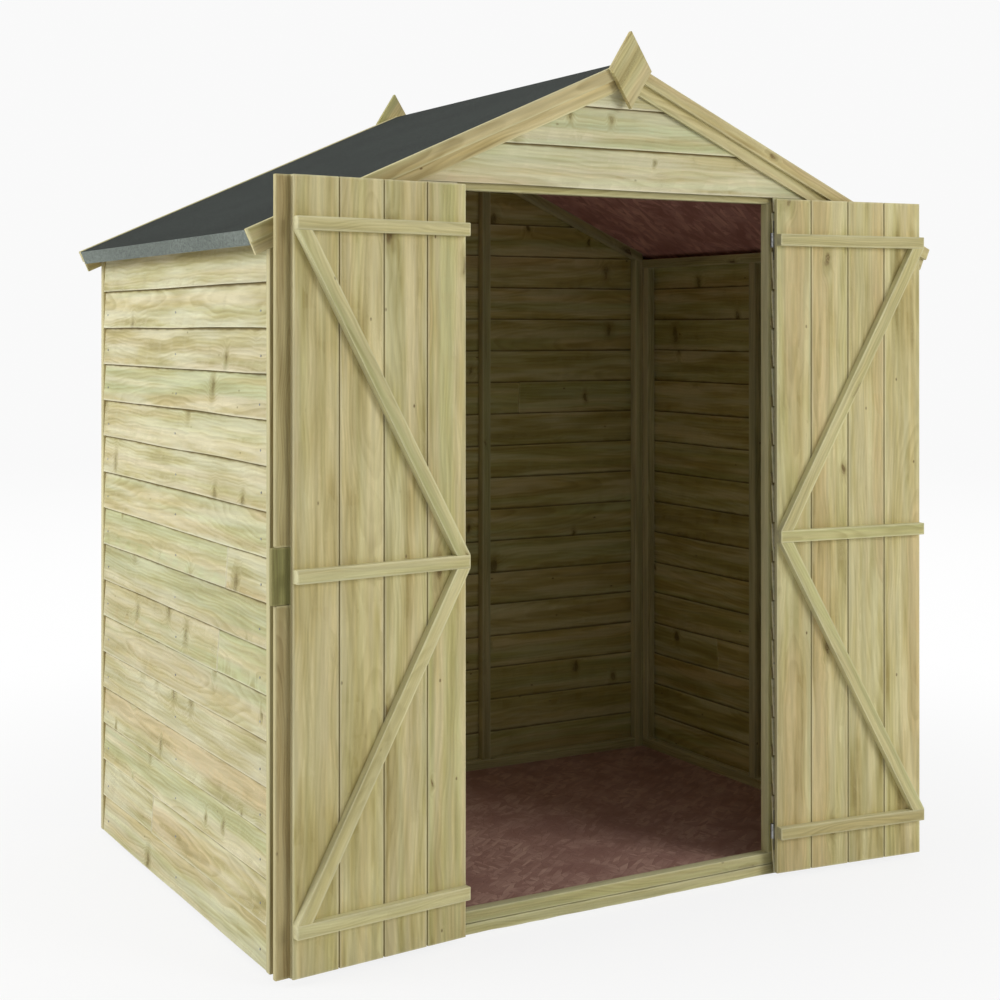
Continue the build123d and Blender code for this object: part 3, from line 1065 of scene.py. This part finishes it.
@dataclass(frozen=True)
class Fastener:
    """A round-headed nail or screw, of which only the head shows.

    Attributes:
        name: Name of the pattern piece.
        radius: Radius of the head.
        height: How far the head stands out.
        recess: Depth of its driver recess, or 0.
        rim: Width of the rim round the recess, as a share of the radius.
        rounding: Width of the head's rounded edge, as a share of its height.
    """

    name: str
    radius: float
    height: float
    recess: float = 0.0
    rim: float = 0.35
    rounding: float = 0.7

    def pattern(self) -> Piece:
        """Make one head at the origin, standing along Z."""
        clear_selection()
        bpy.ops.mesh.primitive_cylinder_add(vertices=10, radius=self.radius, depth=self.height * 2)
        head = bpy.context.active_object
        head.name = self.name
        with editing():
            bpy.ops.mesh.select_all(action="DESELECT")
        for face in head.data.polygons:
            face.select = face.normal.z > 0.5
        with editing():
            bpy.ops.mesh.bevel(offset=self.height * self.rounding, segments=2, affect="EDGES")
        if self.recess:
            least = self.radius ** 2
            flat = [face.normal.z > FACING and face.area > least for face in head.data.polygons]
            sink(head, flat, self.radius * self.rim, -UP * self.recess)
        return head

    def drive(self, name: str, places: Sequence[tuple[Vector, Vector]], body: str) -> None:
        """Set heads at many places as one piece.

        Args:
            name: Name of the piece.
            places: Point and outward direction of each head.
            body: CAD body that it moves with.
        """
        pattern = self.pattern()
        heads = []
        for point, out in places:
            head = pattern.copy()
            head.data = pattern.data.copy()
            bpy.context.scene.collection.objects.link(head)
            head.data.transform(Matrix.Translation(point) @ out.to_track_quat("Z", "Y").to_matrix().to_4x4())
            heads.append(head)
        bpy.data.objects.remove(pattern)
        fit(name, heads, ZINC, body, "galvanised_steel")


NAIL = Fastener("nail", 2.6 * MM, 0.7 * MM)
SCREW = Fastener("screw", 4.2 * MM, 1.8 * MM, recess=1.2 * MM)


# The studio


@dataclass(frozen=True)
class Lamp:
    """A soft square lamp that faces the middle of the shed.

    Attributes:
        name: Name of the lamp.
        place: Where it hangs.
        size: Length of its sides.
        power: Its power in watts.
    """

    name: str
    place: tuple[float, float, float]
    size: float
    power: float

    def hang(self) -> None:
        """Put the lamp in its place."""
        data = bpy.data.lights.new(self.name, "AREA")
        data.size = self.size
        data.energy = self.power
        lamp = bpy.data.objects.new(self.name, data)
        lamp.location = self.place
        lamp.rotation_euler = (UP - lamp.location).to_track_quat("-Z", "Y").to_euler()
        bpy.context.scene.collection.objects.link(lamp)


LAMPS = (
    Lamp("key", (-6.0, 1.0, 3.4), 3.2, 196.0),
    Lamp("front", (3.2, -6.2, 3.2), 3.0, 186.0),
    Lamp("top", (0.4, 0.6, 6.0), 4.0, 80.0),
)
WHITE = (1.0, 1.0, 1.0, 1.0)


@dataclass(frozen=True)
class Studio:
    """Floor, light and camera round the shed.

    Attributes:
        eye: Place of the camera.
        turn: Turn of the view to the right of +Y, in degrees.
        tilt: Upward tilt of the view, in degrees.
        lens: Focal length in millimetres.
        shift: Shift of the picture to the right and up, as shares of its width.
        fill: Strength of the even light.
        wall: Brightness of the background.
        near: Share of plain white in the floor close to the shed, where its shadow shows.
    """

    eye: tuple[float, float, float] = (-2.2944, -4.0198, 1.3955)
    turn: float = 29.826
    tilt: float = 0.11
    lens: float = 61.14
    shift: tuple[float, float] = (-0.0013, -0.1758)
    fill: float = 0.36
    wall: float = 0.95
    near: float = 0.84

    def camera(self) -> None:
        """Set up the camera at the photograph's angle."""
        data = bpy.data.cameras.new("camera")
        data.lens = self.lens
        data.shift_x, data.shift_y = self.shift
        camera = bpy.data.objects.new("camera", data)
        camera.location = self.eye
        camera.rotation_euler = (math.radians(90 + self.tilt), 0, math.radians(-self.turn))
        bpy.context.scene.collection.objects.link(camera)
        bpy.context.scene.camera = camera

    def floor(self) -> None:
        """Lay the pale floor, which shows white to the camera and keeps the shed's shadow."""
        clear_selection()
        bpy.ops.mesh.primitive_plane_add(size=60.0)
        floor = bpy.context.active_object
        floor.name = "studio_floor"
        surface = Surface("studio floor")
        graph = surface.graph
        paint = {"Base Color": (0.8, 0.8, 0.8, 1.0), "Roughness": 0.9, "Specular IOR Level": 0.1}
        graph.feed(surface.shader, paint)
        away = graph.add("VectorMath", {0: surface.place()}, operation="LENGTH")["Value"]
        share = away.span(1.0, 3.2, self.near, 1.0) * graph.seen()
        white = graph.add("Emission", {"Color": WHITE, "Strength": away.span(2.5, 14.0, 1.0, self.wall)})[0]
        mixed = graph.add("MixShader", {0: share, 1: Wire(graph, surface.shader.outputs[0]), 2: white})[0]
        graph.feed(graph.tree.nodes["Material Output"], {0: mixed})
        floor.data.materials.append(surface.material)

    def world(self) -> None:
        """Fill the room with even light and show white behind the shed."""
        world = bpy.data.worlds.new("studio")
        world.use_nodes = True
        bpy.context.scene.world = world
        graph = Graph(world.node_tree)
        fill = graph.tree.nodes["Background"]
        graph.feed(fill, {"Color": WHITE, "Strength": self.fill})
        wall = graph.add("Background", {"Color": (self.wall, self.wall, self.wall, 1.0), "Strength": 1.0})[0]
        chosen = graph.add("MixShader", {0: graph.seen(), 1: Wire(graph, fill.outputs[0]), 2: wall})[0]
        graph.feed(graph.tree.nodes["World Output"], {0: chosen})

    def build(self) -> None:
        """Set up the whole studio."""
        bpy.context.scene.view_settings.view_transform = "Standard"
        self.camera()
        self.floor()
        self.world()
        for lamp in LAMPS:
            lamp.hang()
        log.info("studio ready")


# The shed


@dataclass
class LappedBoards:
    """Overlapping feather-edge boards on one panel of a wall.

    Attributes:
        node: CAD node that the boards take the place of.
        axes: Along the boards and up the wall; the panel faces the third direction.
        splits: Places along the wall where a course is made of two lengths, by course number.
        cuts: Planes that trim the boards to the roof.
        short: How far the boards stop short of each end of the panel.
        gap: Gap between two lengths of a course.
        ease: Width of the boards' eased arrises.
        behind: How far the boards stay behind the panel's face, as room for their waves.
        bay: Length of the stretches that a board is divided into.
        least: Share of a course that isn't worth a board.
    """

    node: str
    axes: Axes
    splits: dict[int, float] = field(default_factory=dict)
    cuts: tuple[Cut, ...] = ()
    short: tuple[float, float] = (0.0, 0.0)
    gap: float = 1.2 * MM
    ease: float = 1.4 * MM
    behind: float = 0.4 * MM
    bay: float = 90 * MM
    least: float = 0.02

    def board(self, start: float, end: float, foot: float, face: float, top: Cut) -> Timber:
        """Lean one board on the one below.

        Args:
            start: Where the board starts along the wall.
            end: Where it ends.
            foot: Height of its lower edge.
            face: Place of its lower front arris along the panel's facing.
            top: Plane of the panel's upper edge.

        Returns:
            The board.
        """
        lean = math.atan2(BOARD_THICKNESS, BOARD_SHOWN)
        size = Vector((end - start, BOARD_SHOWN + BOARD_TUCK, BOARD_THICKNESS))
        up = self.axes.across * math.cos(lean) - self.axes.through * math.sin(lean)
        leaning = Axes(self.axes.along, up)
        middle = self.axes.along * ((start + end) / 2) + self.axes.across * foot + self.axes.through * face
        middle += up * (size[1] / 2) - leaning.through * (BOARD_THICKNESS / 2)
        bays = max(2, round(size[0] / self.bay))
        return Timber(self.node, leaning, middle, size, self.ease, self.cuts + (top,), (WAVES, CUPS), bays)

    def build(self, luck: random.Random) -> None:
        """Board the panel from the bottom up and fit it.

        Args:
            luck: Source of the boards' warp and figure.
        """
        middle, size = self.axes.span(corners_of(self.node))
        start = middle.dot(self.axes.along) - size[0] / 2
        foot = middle.dot(self.axes.across) - size[1] / 2
        face = middle.dot(self.axes.through) + size[2] / 2 - self.behind
        top = Cut(self.axes.across * (foot + size[1]), self.axes.across)
        boards = []
        for course in range(math.ceil(size[1] / BOARD_SHOWN - self.least)):
            ends = [start + self.short[0], start + size[0] - self.short[1]]
            inset = 0.0
            if course in self.splits:
                ends.insert(1, self.splits[course])
                inset = self.gap / 2
            for left, right in zip(ends, ends[1:]):
                board = self.board(left + inset, right - inset, foot + course * BOARD_SHOWN, face, top)
                boards.append(board.saw(luck))
        shown = [board for board in boards if len(board.data.polygons)]
        fit(self.node + "_boards", shown, CLADDING, "shed", "clad_timber", self.node)


@dataclass
class Walls:
    """The four walls: lapped boards outside and their framing inside.

    Attributes:
        luck: Source of each board's own warp and figure.
        door_gap: How far the front boards stop short of the doorway.
        nail_rise: Height of the nails above a board's lower edge.
        aim: How far a nail may stray along the board and up it, in millimetres.
    """

    luck: random.Random
    door_gap: float = 7 * MM
    nail_rise: float = 34 * MM
    aim: tuple[int, int] = (5, 4)

    def cladding(self) -> None:
        """Board every wall panel."""
        cuts = roof_cuts(UNDER_SHEET)
        for side in Side:
            splits = {8: 0.349, 6: 0.292, 1: -0.182} if side is Side.LEFT else {3: 0.21, 9: -0.33}
            at_door = (0.0, self.door_gap) if side is Side.LEFT else (self.door_gap, 0.0)
            along = Vector((0, side.value, 0))
            LappedBoards(f"{side.word}_wall_cladding", Axes(along, UP), splits).build(self.luck)
            LappedBoards(f"front_{side.word}_cladding", ACROSS_X, cuts=cuts, short=at_door).build(self.luck)
        LappedBoards("front_gable_cladding", ACROSS_X, cuts=cuts).build(self.luck)
        LappedBoards("back_wall_cladding", Axes(-RIGHTWARD, UP), {4: 0.3, 11: -0.42}, cuts).build(self.luck)

    def nail_places(self, panel: str, upright: Sequence[Vector], out: Vector) -> list[tuple[Vector, Vector]]:
        """Points and directions of the nails that hold a panel's boards to one upright.

        Args:
            panel: CAD node of the panel.
            upright: Corner points of the upright.
            out: Direction that the panel faces.

        Returns:
            Point and outward direction of each nail.
        """
        low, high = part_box(panel)
        along = Vector((abs(out.y), abs(out.x), 0))
        lean = self.nail_rise * BOARD_THICKNESS / BOARD_SHOWN
        face = max(low.dot(out), high.dot(out)) - lean + JUST_OVER
        middle = sum(upright, Vector()) / len(upright)
        if not low.dot(along) < middle.dot(along) < high.dot(along):
            return []
        top = max(point.z for point in upright) - BOARD_SHOWN
        places = []
        aside, rise = self.aim
        for course in range(int((top - low.z) / BOARD_SHOWN) + 1):
            height = low.z + course * BOARD_SHOWN + self.nail_rise + self.luck.uniform(-rise, rise) * MM
            place = along * (middle.dot(along) + self.luck.uniform(-aside, aside) * MM) + out * face
            places.append((place + UP * height, out))
        return places

    def nails(self) -> None:
        """Nail every lapped board to the uprights behind it."""
        panels = [("back_wall_cladding", ("back_wall_uprights",), -FORWARD)]
        for side in Side:
            panels.append((f"{side.word}_wall_cladding", (f"{side.word}_wall_uprights",), side.out))
            panels.append((f"front_{side.word}_cladding", ("front_corner_uprights", "door_jambs"), FORWARD))
        places = []
        for panel, uprights, out in panels:
            for upright in uprights:
                for points in solids_of(upright):
                    places += self.nail_places(panel, points, out)
        NAIL.drive("wall_nails", places, "shed")

    def framing(self) -> None:
        """Make the rails, uprights and jambs."""
        under_rails = roof_cuts(UNDER_SHEET + FRAME_SIZE)
        plan = [
            Sticks("door_jambs", UPRIGHT, TRIM),
            Sticks("door_head_rail", ACROSS_X, TRIM, cuts=under_rails),
            Sticks("front_bottom_rail", ACROSS_X, BATTENS),
            Sticks("back_bottom_rail", ACROSS_X),
            Sticks("front_corner_uprights", UPRIGHT, cuts=under_rails),
            Sticks("back_wall_uprights", UPRIGHT, cuts=under_rails),
            Sticks("corner_strips", UPRIGHT, TRIM, "trim_timber"),
        ]
        for side in Side:
            low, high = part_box(f"{side.word}_gable_rails")
            plumb = Vector((high.x if side is Side.RIGHT else low.x, 0, 0))
            ends = (Cut(Vector(), -side.out), Cut(plumb, side.out))
            plan.append(Sticks(f"{side.word}_wall_rails", ALONG_Y))
            plan.append(Sticks(f"{side.word}_wall_uprights", UPRIGHT))
            plan.append(Sticks(f"{side.word}_gable_rails", facing_front(down_slope(side)), cuts=ends))
        for sticks in plan:
            sticks.build(self.luck)

    def build(self) -> None:
        """Make the walls."""
        self.cladding()
        self.nails()
        self.framing()


@dataclass
class Base:
    """The floor sheet on its bearers and the strip across its front.

    Attributes:
        luck: Source of each timber's own figure.
        crack: Gap between the strip and the rail above it.
    """

    luck: random.Random
    crack: float = 2.4 * MM

    def build(self) -> None:
        """Make the floor."""
        dress("floor_sheet", FLOOR_SHEET)
        Sticks("floor_bearers", ACROSS_X).build(self.luck)
        Sticks("doorway_strip", ACROSS_X, BATTENS, short=self.crack, warps=(RAGGED,)).build(self.luck)


@dataclass
class Roof:
    """Sheets, felt, eave battens, bargeboards and finials."""

    luck: random.Random

    def finials(self) -> None:
        """Cut the two diamonds with their grain along one edge."""
        pieces = []
        for points in solids_of("finials"):
            middle, (width, height, depth) = ACROSS_X.span(points)
            cuts = []
            for x in (-1, 1):
                for z in (-1, 1):
                    normal = Vector((x * height, 0, z * width)).normalized()
                    cuts.append(Cut(middle + RIGHTWARD * (x * width / 2), normal))
            axes = facing_front(Vector((width, 0, height)).normalized())
            stock = Vector((height * DIAMOND_STOCK, height * DIAMOND_STOCK, depth))
            pieces.append(Timber("finial", axes, middle, stock, cuts=cuts).saw(self.luck))
        fit("finial_diamonds", pieces, TRIM, "shed", "trim_timber", "finials")

    def eave_batten(self, side: Side) -> None:
        """Make the batten under one eave, which lies square to the sheet.

        Args:
            side: Which eave.
        """
        points = max(solids_of("eave_battens"), key=lambda corners: side.value * corners[0].x)
        axes = Axes(Vector((0, 1, 0)), down_slope(side))
        batten = Timber("eave_batten", axes, *axes.span(points)).saw(self.luck)
        nodes = ["eave_battens"] if side is Side.RIGHT else []
        fit(f"{side.word}_eave_batten", [batten], FRAMING, "shed", "frame_timber", *nodes)

    def build(self) -> None:
        """Make the roof."""
        dress("roof_felt", FELT)
        for side in Side:
            dress(f"{side.word}_roof_sheet", ROOF_SHEETS[side])
            mitre = (Cut(Vector(), -side.out),)
            for kind in ("bargeboards", "barge_strips"):
                axes = facing_front(down_slope(side))
                Sticks(f"{side.word}_{kind}", axes, TRIM, "trim_timber", mitre).build(self.luck)
            self.eave_batten(side)
        self.finials()


@dataclass
class Door:
    """A ledged and braced door on its T hinges, standing open.

    Attributes:
        side: Which door it is.
        luck: Source of its boards' figure.
        hinge_board: Width of the board that carries the hinges.
        board: Width of each of the others.
        groove: Gap between the faces of two boards.
        tongue: How far a tongue reaches into its boards, and ends short of them.
        slot: Depth of the empty groove in the free edge.
        slot_rim: Width of the edge left on each side of it, as a share of the leaf's thickness.
        tongue_share: Thickness of a tongue as a share of the leaf's.
        bays: Number of stretches that a board's length is divided into.
        batten_ease: Width of the eased arrises of ledges and braces.
        cover_ease: The same for the cover strip and the lock block.
        rebate_ease: The same in their rebates.
        tongue_ease: The same for the tongues.
        strap_screws: Distances of the strap's screws from the leaf's hinge edge, in millimetres.
        plate_screws: Distances of the wall plate's screws from its nearer end, in millimetres.
        plate_inset: Distance of those screws from the edge beside the doorway.
        nail_row: Distance of the ledges' nails from the ledge's middle.
    """

    side: Side
    luck: random.Random
    hinge_board: float = 103.5 * MM
    board: float = 113 * MM
    groove: float = 3.4 * MM
    tongue: float = 2 * MM
    slot: float = 6 * MM
    slot_rim: float = 0.22
    tongue_share: float = 0.4
    bays: int = 12
    batten_ease: float = 1.6 * MM
    cover_ease: float = 1.4 * MM
    rebate_ease: float = 0.5 * MM
    tongue_ease: float = 0.4 * MM
    strap_screws: tuple[int, ...] = (42, 100, 160, 218)
    plate_screws: tuple[int, ...] = (12, 30)
    plate_inset: float = 11 * MM
    nail_row: float = 8 * MM

    def __post_init__(self) -> None:
        """Work out how the door stands from its joint."""
        self.body = self.side.word + "_door"
        joint = next(j for j in frame["joints"] if j["child"] == self.body)
        hinge = Vector(joint["pos_m"])
        turn = Matrix.Rotation(math.radians(joint["range_deg"][1]), 4, Vector(joint["axis"]))
        self.close = Matrix.Translation(hinge) @ turn @ Matrix.Translation(-hinge)
        self.open = self.close.inverted()

    def closed(self, points: Sequence[Vector]) -> list[Vector]:
        """Points of the open door as they lie when it is shut."""
        return [self.close @ point for point in points]

    def hang(self, name: str, pieces: Sequence[Piece], finish: TimberFinish, *nodes: str) -> None:
        """Swing pieces of the shut door open and fit them."""
        for piece in pieces:
            piece.data.transform(self.open)
        fit(name, pieces, finish, self.body, "door_timber", *nodes)

    def leaf(self) -> None:
        """Make the leaf's four upright boards, with a tongue at the foot of the groove where two meet."""
        node = self.body + "_leaf"
        middle, (height, width, depth) = UPRIGHT.span(self.closed(corners_of(node)))
        hinge_x = self.side.value * (abs(middle.x) + width / 2)
        inner = [self.hinge_board + count * self.board for count in range(3)]

        def at(distance: float) -> Vector:
            """Point of the leaf's middle plane at a distance from the hinge edge."""
            return Vector((hinge_x - self.side.value * distance, middle.y, middle.z))

        boards = []
        for near, far in zip([0.0] + inner, inner + [width]):
            start = near + (self.groove / 2 if near else 0.0)
            end = far - (self.groove / 2 if far < width else 0.0)
            stock = Vector((height, end - start, depth))
            board = blank(node, stock, bays=self.bays)
            if far == width:
                free = -self.side.value
                edge = [face.normal.y * free > FACING for face in board.data.polygons]
                sink(board, edge, depth * self.slot_rim, Vector((0, -free * self.slot, 0)))
            mark_grain(board, stock, self.luck.random())
            lay(board, UPRIGHT, at((start + end) / 2))
            boards.append(board)
        stock = Vector((height - 2 * self.tongue, self.groove + 2 * self.tongue, depth * self.tongue_share))
        tongues = [Timber(node, UPRIGHT, at(joint), stock, self.tongue_ease) for joint in inner]
        self.hang(node + "_boards", boards, DOORS, node)
        self.hang(node + "_tongues", [tongue.saw(self.luck) for tongue in tongues], TONGUES)

    def cover(self, node: str, finish: TimberFinish) -> None:
        """Make the lengths of one cover piece, each rebated where it laps the other leaf.

        Args:
            node: The CAD node that they take the place of.
            finish: Their finish.
        """
        pieces = []
        for points in solids_of(node):
            shut = self.closed(points)
            low, high = box_of(shut)
            step, seat = (sorted({round(p[axis], 4) for p in shut})[1] for axis in (1, 0))
            size = Vector((high.z - low.z, high.x - low.x, high.y - low.y))
            piece = blank(node, size, self.cover_ease)
            room = Vector((size[0] + SPARE, high.x - seat + SPARE, high.y - step + SPARE))
            rebate = blank(node, room, self.rebate_ease)
            shift = Vector((0, (size[1] - room[1]) / 2 + SPARE, (size[2] - room[2]) / 2 + SPARE))
            rebate.data.transform(Matrix.Translation(shift))
            saw = piece.modifiers.new("rebate", "BOOLEAN")
            saw.operation = "DIFFERENCE"
            saw.solver = "EXACT"
            saw.object = rebate
            pick(piece)
            bpy.ops.object.modifier_apply(modifier=saw.name)
            bpy.data.objects.remove(rebate)
            mark_grain(piece, size, self.luck.random())
            lay(piece, UPRIGHT, (low + high) / 2)
            pieces.append(piece)
        self.hang(node + "_timber", pieces, finish, node)

    def screws(self) -> None:
        """Screw the straps to the leaf and the plates to the wall."""
        turned_out = self.open.to_3x3() @ FORWARD
        in_strap, in_plate = [], []
        for points in solids_of(self.body + "_hinge_straps"):
            shut = self.closed(points)
            low, high = box_of(shut)
            edge = max(abs(p.x) for p in shut)
            for along in self.strap_screws:
                x = self.side.value * (edge - along * MM)
                place = Vector((x, high.y - HINGE_PLATE, (low.z + high.z) / 2))
                in_strap.append((self.open @ place, turned_out))
        for points in solids_of(self.side.word + "_hinge_plates"):
            low, high = box_of(points)
            x = self.side.value * (max(abs(p.x) for p in points) - self.plate_inset)
            rises = [rise * MM for rise in self.plate_screws]
            for z in [low.z + rise for rise in rises] + [high.z - rise for rise in reversed(rises)]:
                in_plate.append((Vector((x, high.y - HINGE_PLATE, z)), FORWARD))
        SCREW.drive(self.body + "_strap_screws", in_strap, self.body)
        SCREW.drive(self.side.word + "_plate_screws", in_plate, "shed")

    def nails(self) -> None:
        """Clench two nails through each board into each ledge."""
        leaf = self.closed(corners_of(self.body + "_leaf"))
        face = min(p.y for p in leaf) - JUST_OVER
        hinge = max(abs(p.x) for p in leaf)
        places = []
        for points in solids_of(self.body + "_ledges"):
            low, high = box_of(self.closed(points))
            for board in range(4):
                for row in (-self.nail_row, self.nail_row):
                    across = hinge - self.hinge_board / 2 - board * self.board + 3 * row
                    place = Vector((self.side.value * across, face, (low.z + high.z) / 2 + row))
                    places.append((self.open @ place, self.open.to_3x3() @ FORWARD))
        NAIL.drive(self.body + "_nails", places, self.body)

    def battens(self) -> None:
        """Make the three ledges, and the two braces cut to the ledges they run between."""
        node = self.body + "_ledges"
        boxes = [ACROSS_X.span(self.closed(points)) for points in solids_of(node)]
        ledges = [Timber(node, ACROSS_X, middle, size, self.batten_ease) for middle, size in boxes]
        self.hang(node + "_battens", [ledge.saw(self.luck) for ledge in ledges], BATTENS, node)
        node = self.body + "_braces"
        braces = []
        for points in solids_of(node):
            shut = self.closed(points)
            low, high = (corner.z for corner in box_of(shut))
            foot, head = (sorted(p.x for p in shut if abs(p.z - level) < MM) for level in (low, high))
            along = Vector((sum(head) / len(head) - sum(foot) / len(foot), 0, high - low)).normalized()
            axes = facing_front(along)
            middle, size = axes.span(shut)
            stock = Vector((size[0] + SPARE, (foot[-1] - foot[0]) * abs(along.z), size[2]))
            cuts = (Cut(UP * low, -UP), Cut(UP * high, UP))
            braces.append(Timber(node, axes, middle, stock, self.batten_ease, cuts).saw(self.luck))
        self.hang(node + "_battens", braces, BATTENS, node)

    def build(self) -> None:
        """Make the door."""
        self.leaf()
        self.battens()
        if self.side is Side.LEFT:
            self.cover(self.body + "_cover_strip", COVER)
            # The lock block's finish is darkened as painted shade.
            self.cover(self.body + "_lock_block", SHADED_BLOCK)
        dress(self.body + "_hinge_straps", ZINC)
        dress(self.side.word + "_hinge_plates", ZINC)
        self.screws()
        self.nails()


def main() -> None:
    """Build the studio and the shed, piece by piece."""
    logging.basicConfig(level=logging.INFO, format="%(name)s: %(message)s")
    luck = random.Random(SEED)
    Studio().build()
    Base(luck).build()
    Walls(luck).build()
    Roof(luck).build()
    for side in Side:
        Door(side, luck).build()
    clear_selection()


if __name__ == "__main__":
    main()
